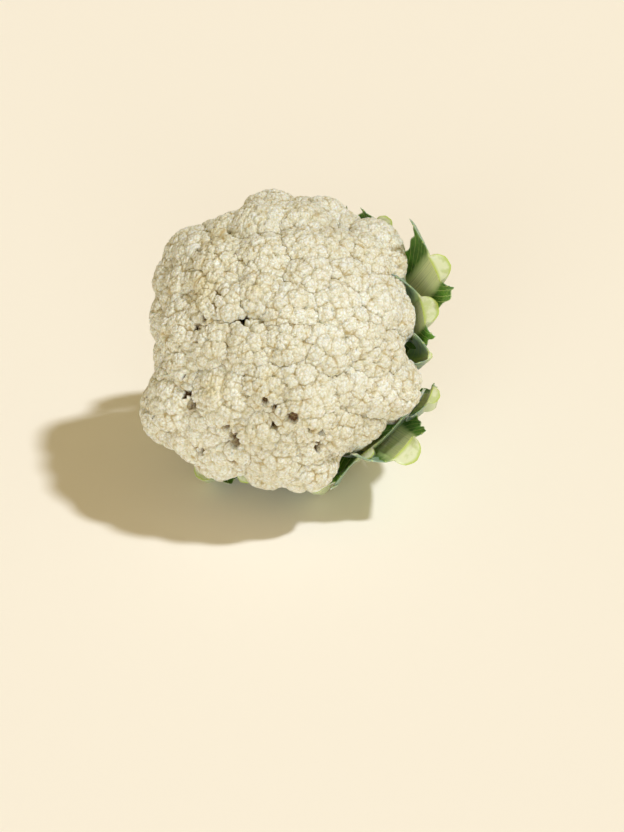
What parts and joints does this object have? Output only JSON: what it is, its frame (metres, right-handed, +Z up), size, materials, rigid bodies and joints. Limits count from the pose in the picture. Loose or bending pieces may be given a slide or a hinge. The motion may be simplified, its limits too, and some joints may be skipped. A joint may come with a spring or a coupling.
{
  "type": "cauliflower head",
  "caption": "Trimmed head of white cauliflower lying on a surface, with a domed curd of close florets, a short cut stem and cut leaf bases round it.",
  "frame": {"origin": "on the surface that the head lies on, under the middle of its bounding box", "axes": "+Z up; -Y towards the viewer, where the crown of the curd is turned; +X to the viewer's right"},
  "size_m": [0.2084, 0.1916, 0.1947],
  "materials": {
    "curd": "matt, finely granular cream-white curd",
    "stem": "pale green-white cut stalk, slightly moist",
    "leaf": "satin green blade with a waxy bloom and a pale, juicy midrib"
  },
  "bodies": {
    "root": {"curd": "curd", "stem": "stem", "leaf_01": "leaf", "leaf_02": "leaf", "leaf_03": "leaf", "leaf_04": "leaf", "leaf_05": "leaf", "leaf_06": "leaf", "leaf_07": "leaf", "leaf_08": "leaf", "leaf_09": "leaf", "leaf_10": "leaf", "leaf_11": "leaf", "leaf_12": "leaf", "leaf_13": "leaf", "leaf_14": "leaf", "leaf_15": "leaf", "leaf_16": "leaf"}
  },
  "joints": []
}
